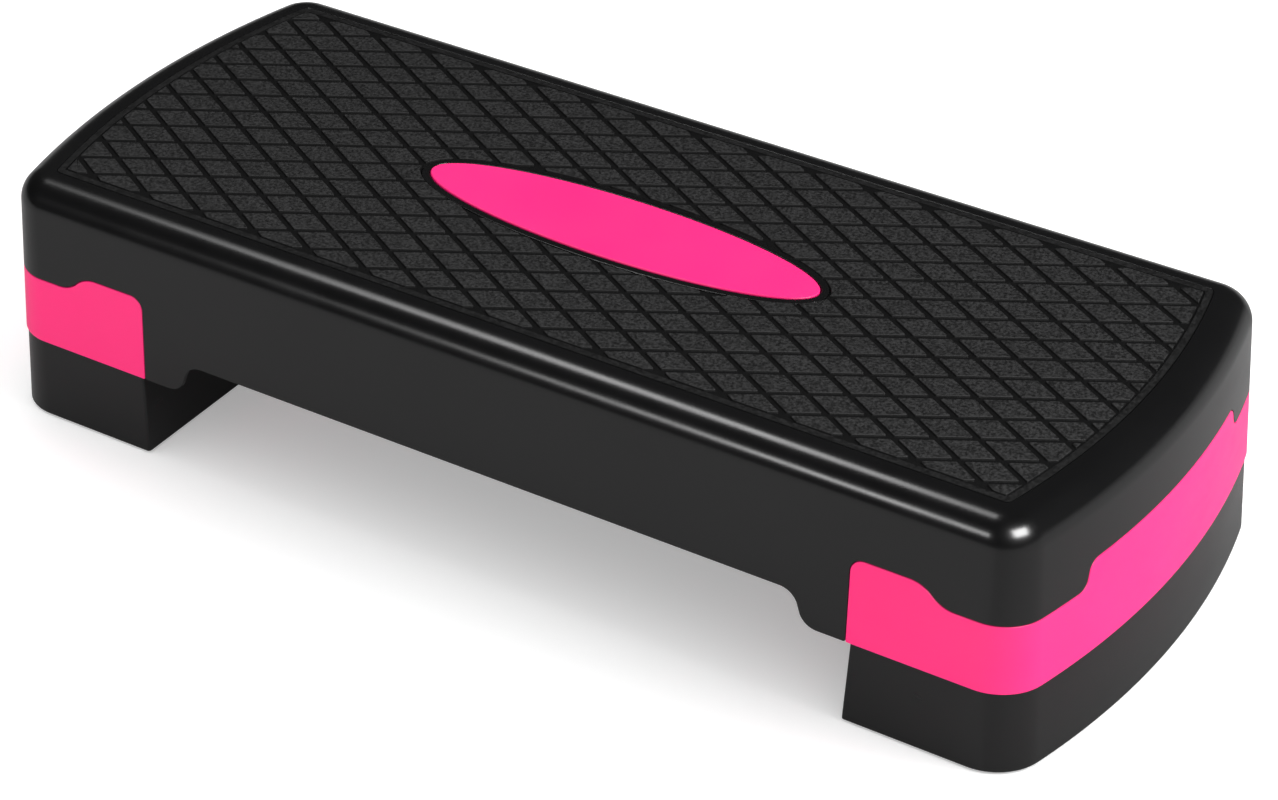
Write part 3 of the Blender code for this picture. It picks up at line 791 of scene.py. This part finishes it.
def cell(shape, outline, floor, top):
    """One raised cell with sloping sides and a soft top edge."""
    lean = math.atan2(GROOVE_SLOPE, GROOVE_DEPTH)
    sections = [(-GROOVE_SLOPE, floor, lean), (-0.00003, top - CELL_EDGE, lean)]
    for k in range(1, 4):
        angle = lean + (math.pi / 2 - lean) * k / 3
        z = top - CELL_EDGE * (1 - math.sin(angle))
        sections.append((CELL_EDGE * (1 - math.cos(angle)), z, angle))
    count = len(outline)
    normals = []
    for i in range(count):
        t = (Vector(outline[(i + 1) % count]) - Vector(outline[i - 1])).normalized()
        normals.append((t.y, -t.x))
    last = None
    for offset, z, tilt in sections:
        ring = shape.ring([((x, y, z), (nx * math.cos(tilt), ny * math.cos(tilt), math.sin(tilt)))
                           for (x, y), (nx, ny) in zip(moved(outline, offset, True, 0.35), normals)])
        if last:
            shape.strip(last, ring)
        last = ring
    shape.faces.append(tuple(last))


def tread(material):
    """The rubber sheet: plain border, diamond cells and a hole round the collar."""
    shape = Shape()
    low = MAT_LOW.z
    groove = MAT_TOP - GROOVE_DEPTH
    band = MAT_TOP - MAT_BAND_DROP
    loop = TREAD.loop()
    field = FIELD.loop()
    oval = oval_loop(INLAY_A, INLAY_B)
    hole = -COLLAR_OUTER - GAP
    shape.sweep(loop, rounded([(0.0010, low), (0.0, low, 0.0002), (0.0, band, 0.0004), (LEDGE, band)]))
    shape.flat([at_inset(loop, LEDGE), at_inset(field, -0.0008)], band)
    shape.sweep(field, rounded([
        (-0.0008, band), (0.0, band, 0.0003), (0.0003, groove), (0.0010, groove)]))
    shape.sweep(oval, rounded([
        (hole - 0.0010, groove), (hole, groove, 0.0002), (hole, low, 0.0002), (hole - 0.0010, low)]))
    shape.flat([at_inset(field, 0.0010), at_inset(oval, hole - 0.0010)], groove)
    shape.flat([at_inset(loop, 0.0010), at_inset(oval, hole - 0.0010)], low, up=False)
    for outline in cell_outlines():
        cell(shape, outline, groove - 0.00005, MAT_TOP)
    return shape.object("tread", material)


def inlay(material):
    """The oval plate in its pocket."""
    shape = Shape()
    top = INLAY_HIGH.z
    low = top - INLAY_THICK
    loop = oval_loop(INLAY_A, INLAY_B)
    shape.disc(loop, 0.0010, low, up=False)
    shape.sweep(loop, rounded([
        (0.0010, low), (0.0, low, 0.0003), (0.0, top, 0.0010), (0.0025, top)], 8))
    shape.disc(loop, 0.0025, top)
    return shape.object("inlay", material)


# ---- risers
def rib(shape, x0, x1, y0, y1, bottom, ceiling):
    """A rib of a riser, from its bottom edge into the ceiling."""
    top = ceiling + ROOF_LAP
    profile = [(y0, bottom), (y1, bottom), (y1, top), (y0, top)]
    shape.prism(profile, "X", (x0 + x1) / 2, (x1 - x0) / 2)


def cross_rib(shape, half, bottom, ceiling):
    """The rib across a riser, under the deck's bearing rib."""
    rib(shape, BEARING_RIB_X - RIB / 2, BEARING_RIB_X + RIB / 2, -half, half, bottom, ceiling)


def bosses(shape, level, ceiling):
    """Round bosses with a socket for each pad."""
    socket = PAD_RADIUS + GAP
    middle = 0.0040
    floor = level + PAD_HIGH.z - FOOT_BOTTOM + GAP
    rim = level + 0.0004
    for x in PAD_X:
        for y in PAD_Y:
            loop = round_loop(x, y, 40)
            shape.sweep(loop, rounded([
                (-middle, floor), (-socket, floor, 0.0002), (-socket, rim, 0.0003),
                (-BOSS_RADIUS, rim, 0.0003), (-BOSS_RADIUS, ceiling + ROOF_LAP)]))
            shape.disc(loop, -middle, floor, up=False)


def riser_band(shape):
    """The coloured panel that shows, flush with the deck's walls."""
    half = Shape()
    path = cut_edge(GAP)[::-1]
    left = INBOARD_X + GAP
    path += bent([(left, CUT_SIDE_TOP), (left, RISER_BOTTOM, 0.0008),
                  (SKIN.end, RISER_BOTTOM)], 5)
    path = split_at_columns(path + [(SKIN.end, RISER_BOTTOM)])
    depth = WALL + GAP + 0.0006
    for deep, edge in ((0.0, EDGE_ROUND), (depth, INNER_ROUND)):
        border = moved(path, edge)
        low, high = border[-1][1], border[0][1]
        closing = [(SKIN.end, low + (high - low) * k / 10) for k in range(1, 10)]
        panel_face(half, border, closing, deep, deep > 0)
    panel_rim(half, path, depth)
    half.add(half.mirrored(1, -1))
    shape.add(half)


def upper_riser():
    """The coloured band with its upstand, an open box that enters the deck."""
    shape = Shape()
    riser_band(shape)
    low, top = RISER_BOTTOM, RISER_TOP
    rim = low + 0.0002
    ceiling = top - WALL
    base = skin_inset(low) + (WALL + GAP)
    lean = (top - low) * math.tan(DRAFT)
    lid = base + lean + RISER_LID
    roof = base + lean + WALL + RISER_LID
    loop = SKIN.end_loop(INBOARD_X + GAP - base, roof)
    shape.sweep(loop, rounded([
        (roof, ceiling), (base + lean + WALL, ceiling, 0.0015), (base + WALL, rim, 0.0003),
        (base, rim, 0.0003), (base + lean, top, 0.0015), (lid, top)]))
    shape.flat([at_inset(loop, lid)], top)
    shape.flat([at_inset(loop, roof)], ceiling, up=False)
    x0 = INBOARD_X + GAP + RIB_ROOT + lean
    x1 = end_x(0.05, base + lean) - RIB_ROOT
    cross_rib(shape, HALF_WIDTH - base - lean - RIB_ROOT, RISER_RIB_BOTTOM, ceiling)
    for y in RISER_RIB_Y:
        rib(shape, x0, x1, y - RIB / 2, y + RIB / 2, RISER_RIB_BOTTOM, ceiling)
    for y in KEY_RIB_Y:
        x1 = end_x(y, base + lean) - RIB_ROOT
        rib(shape, x0, x1, y - RIB / 2, y + RIB / 2, low + 0.0004, ceiling)
    bosses(shape, low, ceiling)
    return shape


def spigot_block(shape, spigot, level, ceiling):
    """The hollow block on a lower riser that enters the upper one."""
    roof = SPIGOT_TOP - WALL
    shape.sweep(spigot, rounded([
        (-0.0010, level), (0.0, level, 0.0006), (0.0, SPIGOT_TOP - 0.0040, 0.0010),
        (0.0020, SPIGOT_TOP, 0.0010), (0.0080, SPIGOT_TOP)]))
    shape.disc(spigot, 0.0080, SPIGOT_TOP)
    shape.sweep(spigot, rounded([(WALL + 0.0060, roof), (WALL, roof, 0.0010), (WALL, ceiling)]))
    shape.disc(spigot, WALL + 0.0060, roof, up=False)


def pad_well(shape, well, level):
    """A shallow well that takes a pad of the riser above."""
    floor = level - WELL_DEPTH
    shape.sweep(well, rounded([
        (-WELL_RADIUS - 0.0006, level), (-WELL_RADIUS, level, 0.0003),
        (-WELL_RADIUS, floor, 0.0002), (-0.0040, floor)]))
    shape.disc(well, -0.0040, floor)


def lower_riser():
    """The foot: leaning walls, a flat top with wells and a spigot."""
    shape = Shape()
    low, top = FOOT_BOTTOM, FOOT_TOP
    ceiling = top - WALL
    roof = WALL + FOOT_ROOF
    loop = SKIN.end_loop(INBOARD_X, roof, 0.0016)
    shape.sweep(loop, rounded([
        (roof, ceiling), (FOOT_LEAN + WALL, ceiling, 0.0015), (WALL, low, 0.0003),
        (0.0, low, 0.0005), (FOOT_LEAN, top, 0.0007), (FOOT_LEAN + LEDGE, top)]))
    spigot = box_loop(*SPIGOT_X, SPIGOT_HALF_WIDTH)
    wells = [round_loop(x, y, 40) for x in PAD_X for y in PAD_Y]
    holes = [at_inset(spigot, -0.0010)] + [at_inset(w, -WELL_RADIUS - 0.0006) for w in wells]
    shape.flat([at_inset(loop, FOOT_LEAN + LEDGE)] + holes, top)
    shape.flat([at_inset(loop, roof), at_inset(spigot, WALL)], ceiling, up=False)
    spigot_block(shape, spigot, top, ceiling)
    for well in wells:
        pad_well(shape, well, top)
    cross_rib(shape, HALF_WIDTH - FOOT_LEAN - RIB_ROOT, FOOT_RIB_BOTTOM, ceiling)
    for y in FOOT_RIB_Y:
        rib(shape, INBOARD_X + FOOT_LEAN + RIB_ROOT, end_x(y, FOOT_LEAN) - RIB_ROOT,
            y - RIB / 2, y + RIB / 2, FOOT_RIB_BOTTOM, ceiling)
    bosses(shape, low, ceiling)
    return shape


def pad(name, node, material):
    """A round rubber pad with a shallow dish underneath, in the place of its node."""
    low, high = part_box(node)
    dish = low.z + PAD_DISH_DEPTH
    shape = Shape()
    loop = round_loop((low.x + high.x) / 2, (low.y + high.y) / 2, 48)
    shape.sweep(loop, rounded([
        (-PAD_DISH, dish), (-PAD_DISH - 0.0006, low.z, 0.0003), (-PAD_RADIUS, low.z, 0.0005),
        (-PAD_RADIUS, high.z, 0.0002), (-PAD_DISH, high.z)]))
    shape.disc(loop, -PAD_DISH, dish, up=False)
    shape.disc(loop, -PAD_DISH, high.z)
    return shape.object(name, material)


# ---- materials
class Nodes:
    """Short names for building a node tree."""

    def __init__(self, tree):
        self.tree = tree

    def node(self, kind, **values):
        """A new node with values for its inputs, whose names have _ for a space."""
        made = self.tree.nodes.new(kind)
        for name, value in values.items():
            made.inputs[name.replace("_", " ")].default_value = value
        return made

    def link(self, source, target):
        self.tree.links.new(source, target)

    def spread(self, value, low, high, start=0.3, stop=0.7):
        """Maps a value from start..stop to low..high."""
        made = self.node("ShaderNodeMapRange", From_Min=start, From_Max=stop, To_Min=low, To_Max=high)
        self.link(value, made.inputs["Value"])
        return made.outputs["Result"]

    def maths(self, operation, a, b):
        made = self.node("ShaderNodeMath")
        made.operation = operation
        self.link(a, made.inputs[0])
        self.link(b, made.inputs[1])
        return made.outputs["Value"]


class Look(Nodes):
    """A procedural material in the making, laid out in the object's own coordinates."""

    def __init__(self, name):
        self.material = bpy.data.materials.new(name)
        self.material.use_nodes = True
        super().__init__(self.material.node_tree)
        self.shader = self.tree.nodes["Principled BSDF"]
        self.place = self.node("ShaderNodeTexCoord").outputs["Object"]

    def set(self, socket, value):
        """The same value all over the surface."""
        self.shader.inputs[socket].default_value = value

    def vary(self, socket, source):
        """A value that changes over the surface."""
        self.link(source, self.shader.inputs[socket])

    def noise(self, scale, detail=4.0, rough=0.5, stretch=None):
        made = self.node("ShaderNodeTexNoise", Scale=scale, Detail=detail, Roughness=rough)
        place = self.place
        if stretch:
            mapping = self.node("ShaderNodeMapping", Scale=stretch)
            self.link(place, mapping.inputs["Vector"])
            place = mapping.outputs["Vector"]
        self.link(place, made.inputs["Vector"])
        return made.outputs["Fac"]

    def colour(self, value, low, high):
        made = self.node("ShaderNodeValToRGB")
        made.color_ramp.elements[0].color = (*low, 1.0)
        made.color_ramp.elements[1].color = (*high, 1.0)
        self.link(value, made.inputs["Fac"])
        return made.outputs["Color"]

    def bump(self, height, distance, normal=None):
        made = self.node("ShaderNodeBump", Distance=distance, Strength=1.0)
        self.link(height, made.inputs["Height"])
        if normal:
            self.link(normal, made.inputs["Normal"])
        return made.outputs["Normal"]


def moulded(name, low, high, rough, grain, specular, waviness=0.0):
    """Moulded plastic: faint mottling, uneven gloss, fine grain and a slight waviness."""
    look = Look(name)
    look.vary("Base Color", look.colour(look.spread(look.noise(9.0, 5.0), 0.0, 1.0), low, high))
    look.vary("Roughness", look.spread(look.noise(22.0, 6.0, 0.6, (1.0, 1.0, 2.5)), *rough))
    normal = look.bump(look.noise(2600.0, 2.0, 0.5), grain)
    if waviness:
        normal = look.bump(look.noise(14.0, 1.0, 0.4), waviness, normal)
    look.vary("Normal", normal)
    look.set("Specular IOR Level", specular)
    return look.material


def rubber(name, low, high, rough, grain, painted_shade_levels=None):
    """Matt rubber: dusty mottling and a pebbled grain. Below the two levels given, the grooves get
    painted shade: near black, with less gloss than the tops."""
    specular = 0.35
    look = Look(name)
    look.set("Specular IOR Level", specular)
    fine = look.noise(620.0, 3.0, 0.6)
    broad = look.noise(30.0, 6.0, 0.6)
    dust = look.maths("MULTIPLY", look.spread(broad, 0.8, 1.0), look.spread(fine, 0.0, 1.0, 0.36, 0.64))
    colour = look.colour(dust, low, high)
    # Painted shade: colour and gloss are darkened by height in the object's own coordinates, standing in
    # for the shade in the grooves. The border band, lying 0.3 mm low, is darkened part way.
    if painted_shade_levels:
        split = look.node("ShaderNodeSeparateXYZ")
        look.link(look.place, split.inputs["Vector"])
        painted_shade_mask = look.spread(split.outputs["Z"], 0.0, 1.0, *painted_shade_levels)
        # near-black colour of the painted shade in the grooves
        mixed = look.node("ShaderNodeMixRGB", Color1=(0.0032, 0.0032, 0.0033, 1.0))
        look.link(painted_shade_mask, mixed.inputs["Fac"])
        look.link(colour, mixed.inputs["Color2"])
        colour = mixed.outputs["Color"]
        look.vary("Specular IOR Level", look.spread(painted_shade_mask, 0.12, specular))
    look.vary("Base Color", colour)
    look.vary("Roughness", look.spread(fine, *rough))
    look.vary("Normal", look.bump(fine, grain))
    return look.material


def make_materials():
    """One material for each slot of the record."""
    return {
        "deck_plastic": moulded(
            "deck_plastic_look", (0.0036, 0.0036, 0.0038), (0.0048, 0.0048, 0.0050),
            rough=(0.20, 0.26), grain=0.000004, specular=0.50, waviness=0.00008),
        # the tread's grooves get painted shade below the two levels given here
        "tread_rubber": rubber(
            "tread_rubber_look", (0.0010, 0.0010, 0.0011), (0.0205, 0.0205, 0.0210),
            rough=(0.55, 0.80), grain=0.00014, painted_shade_levels=(MAT_TOP - 0.0005, MAT_TOP - 0.00005)),
        "inlay_plastic": moulded(
            "inlay_look", (0.94, 0.006, 0.172), (0.97, 0.009, 0.186),
            rough=(0.34, 0.44), grain=0.000008, specular=0.30),
        "upper_riser_plastic": moulded(
            "upper_riser_look", (0.94, 0.008, 0.170), (0.97, 0.012, 0.185),
            rough=(0.30, 0.38), grain=0.000008, specular=0.40, waviness=0.00006),
        "lower_riser_plastic": moulded(
            "lower_riser_look", (0.0058, 0.0058, 0.0060), (0.0072, 0.0072, 0.0074),
            rough=(0.22, 0.28), grain=0.000004, specular=0.40, waviness=0.00006),
        "pad_rubber": rubber(
            "pad_rubber_look", (0.014, 0.014, 0.014), (0.022, 0.022, 0.022),
            rough=(0.75, 0.92), grain=0.00004),
    }


# ---- floor, light and camera
def floor_material(name, low, high, glow):
    """A pale matt sheet with faint mottling, slightly lit through."""
    look = Look(name)
    look.set("Emission Color", (1.0, 1.0, 1.0, 1.0))
    look.set("Emission Strength", glow)
    look.set("Specular IOR Level", 0.2)
    look.vary("Base Color", look.colour(look.noise(3.0, 4.0), (low, low, low), (high, high, high)))
    look.vary("Roughness", look.spread(look.noise(40.0), 0.70, 0.80))
    return look.material


def sheet(name, x0, x1, y0, y1, level, material):
    """A level rectangle of the studio."""
    corners = [(x0, y0, level), (x1, y0, level), (x1, y1, level), (x0, y1, level)]
    mesh = bpy.data.meshes.new(name)
    mesh.from_pydata(corners, [], [(0, 1, 2, 3)])
    mesh.materials.append(material)
    obj = placed(name, mesh)
    return obj


def make_floor():
    """A pale, faintly lit-through table, and two greyer, shorter ones that only gloss sees."""
    far = FLOOR_REACH
    floor = sheet("floor", -far, far, -far, far, FLOOR_Z, floor_material("floor_look", 0.86, 0.88, 0.30))
    floor.visible_glossy = False
    front = floor_material("front_gloss_look", 0.35, 0.37, 0.03)
    end = floor_material("end_gloss_look", 0.27, 0.29, 0.02)
    for name, x0, x1, material in (("floor_in_gloss", -far, GLOSS_FLOOR_SPLIT, front),
                                   ("floor_in_end_gloss", GLOSS_FLOOR_SPLIT, far, end)):
        mirrored = sheet(name, x0, x1, GLOSS_FLOOR_FRONT, far, GLOSS_FLOOR_Z, material)
        for ray in ("camera", "diffuse", "shadow", "transmission"):
            setattr(mirrored, f"visible_{ray}", False)


def area_light(name, start, stop, height, power, target, glossy):
    """A rectangular light whose long axis runs from start to stop, turned to the target. It lights
    either gloss alone or matt surfaces alone."""
    start, stop, target = Vector(start), Vector(stop), Vector(target)
    place = (start + stop) / 2
    along = (stop - start).normalized()
    back = place - target
    back = (back - along * back.dot(along)).normalized()
    turn = Matrix((along, back.cross(along), back)).transposed().to_4x4()
    light = bpy.data.lights.new(name, "AREA")
    light.shape = "RECTANGLE"
    light.size = (stop - start).length
    light.size_y = height
    light.energy = power
    obj = placed(name, light)
    obj.matrix_world = Matrix.Translation(place) @ turn
    obj.visible_glossy = glossy
    obj.visible_diffuse = not glossy


def strip(name, corners, height, powers):
    """A bent run of gloss lights, cut in equal lengths per leg, whose powers follow the list."""
    share = len(powers) // (len(corners) - 1)
    for i, power in enumerate(powers):
        a, b = Vector(corners[i // share]), Vector(corners[i // share + 1])
        start = a.lerp(b, (i % share) / share)
        area_light(f"{name}_{i}", start, start + (b - a) / share, height, power, LIT_EDGE, True)


def make_lights():
    """One soft key for matt surfaces; two strips and a box that only gloss sees."""
    area_light("key", (2.4, -0.2, 1.6), (1.4, 1.8, 1.6), height=2.0, power=62.0,
               target=LIT_MIDDLE, glossy=False)
    strip("top_strip", ((-1.72, 0.48, 2.07), (-1.08, -0.17, 2.36), (-0.50, -0.20, 2.50)),
          height=0.60, powers=(0.55, 2.4, 3.7, 4.6, 3.5, 2.5))
    strip("front_strip", ((-1.60, -1.86, 1.28), (-1.07, -2.15, 1.01), (-0.48, -2.32, 1.00)),
          height=0.40, powers=(0.01, 0.16, 0.59, 2.8, 2.6, 5.0))
    area_light("corner_box", (1.43, -1.35, 1.46), (1.95, -0.27, 1.46), height=0.85, power=88.0,
               target=LIT_CORNER, glossy=True)


def make_world():
    """White behind the floor, a soft fill for matt surfaces and little to see in gloss."""
    world = bpy.data.worlds.new("studio")
    world.use_nodes = True
    n = Nodes(world.node_tree)
    ray = n.node("ShaderNodeLightPath").outputs
    split = n.node("ShaderNodeSeparateXYZ")
    n.link(n.node("ShaderNodeTexCoord").outputs["Generated"], split.inputs["Vector"])
    cove = n.spread(split.outputs["Z"], 0.45, 0.02, 0.05, 0.11)
    behind = n.spread(split.outputs["Y"], 0.03, 1.0, -0.1, 0.5)
    fill = n.spread(split.outputs["Y"], FILL_FRONT, FILL_BACK, -1.0, 1.0)
    gloss = n.node("ShaderNodeMapRange")
    n.link(fill, gloss.inputs["To Min"])
    n.link(n.maths("MULTIPLY", cove, behind), gloss.inputs["To Max"])
    n.link(ray["Is Glossy Ray"], gloss.inputs["Value"])
    background = n.tree.nodes["Background"]
    background.inputs["Color"].default_value = (1.0, 1.0, 1.0, 1.0)
    strength = n.maths("MAXIMUM", ray["Is Camera Ray"], gloss.outputs["Result"])
    n.link(strength, background.inputs["Strength"])
    bpy.context.scene.world = world


def make_camera():
    """Looks down on the near right corner from the front."""
    camera = bpy.data.cameras.new("camera")
    camera.lens = CAMERA_LENS
    camera.sensor_width = 36.0
    camera.dof.use_dof = False
    camera.clip_start = 0.05
    middle = (Vector(cad_box[0]) + Vector(cad_box[1])) / 2
    target = (middle.x + CAMERA_AIM[0], middle.y + CAMERA_AIM[1], CAMERA_AIM_Z)
    turn = Matrix.Rotation(CAMERA_YAW, 4, "Z") @ Matrix.Rotation(math.pi / 2 - CAMERA_PITCH, 4, "X")
    obj = placed("camera", camera)
    obj.matrix_world = Matrix.Translation(target) @ turn @ Matrix.Translation((0, 0, CAMERA_DISTANCE))
    bpy.context.scene.camera = obj


# ---- assembly
def stand_for(obj, body, node):
    """The piece takes the place of a CAD node and moves with its body."""
    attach(obj, body)
    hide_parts(node)


def build():
    """Gives every CAD node its material and stands a detailed piece in its place."""
    looks = make_materials()
    for part in frame["record"]["subparts"]:
        mesh = frame["nodes"][part["node"]].data
        mesh.materials.clear()
        mesh.materials.append(looks[part["material_slot"]])
    stand_for(deck(looks["deck_plastic"]), "platform", "deck_shell")
    stand_for(tread(looks["tread_rubber"]), "platform", "tread_mat")
    stand_for(inlay(looks["inlay_plastic"]), "platform", "centre_inlay")
    for level, make in (("upper", upper_riser), ("lower", lower_riser)):
        look = f"{level}_riser_plastic"
        right = make()
        for word, shape in (("right", right), ("left", right.mirrored(-1, 1))):
            body = f"{level}_{word}"
            obj = shape.object(f"riser_{body}", looks[look])
            stand_for(obj, body, f"{level}_riser_{word}")
            for number in range(1, 5):
                node = f"{level}_pad_{word}_{number}"
                stand_for(pad(f"foot_{node}", node, looks["pad_rubber"]), body, node)


build()
make_floor()
make_world()
make_lights()
make_camera()
bpy.context.scene.view_settings.view_transform = "Standard"
